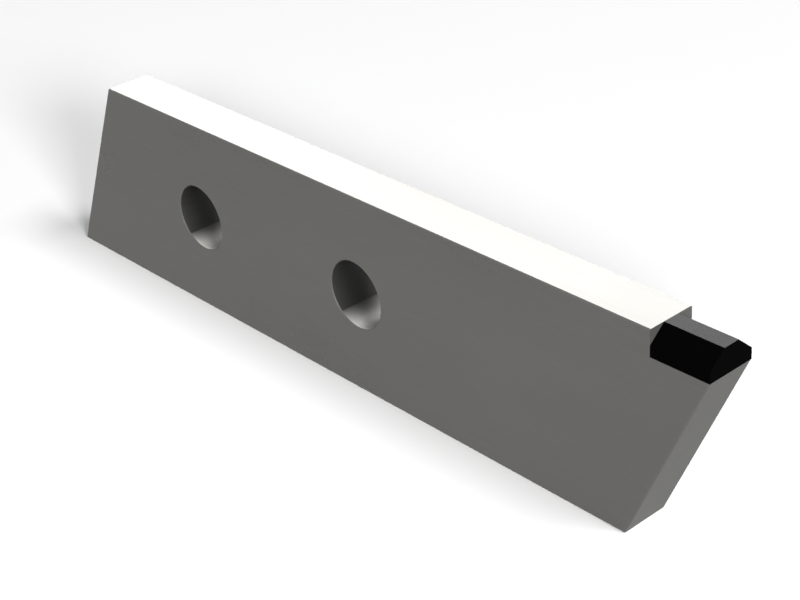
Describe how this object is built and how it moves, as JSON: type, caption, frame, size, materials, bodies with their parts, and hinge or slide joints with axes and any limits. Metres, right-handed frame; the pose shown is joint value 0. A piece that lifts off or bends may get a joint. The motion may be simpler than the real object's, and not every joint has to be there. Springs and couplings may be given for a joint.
{
  "type": "spreader blade",
  "caption": "Flat steel spreader blade with slanted ends, a row of plain bolt holes and a black roof-shaped hard-metal tip set in a pocket at the top of its leading end.",
  "frame": {"origin": "on the mounting face, midway between the centres of the bolt holes", "axes": "+X along the blade towards the tip, +Y out of the mounting face towards the carrier, +Z across the width towards the edge that holds the tip"},
  "size_m": [0.2154, 0.012, 0.05],
  "materials": {
    "steel": "satin",
    "hard_metal": "ground"
  },
  "bodies": {
    "root": {"blade_body": "steel", "carbide_tip": "hard_metal"}
  },
  "joints": []
}
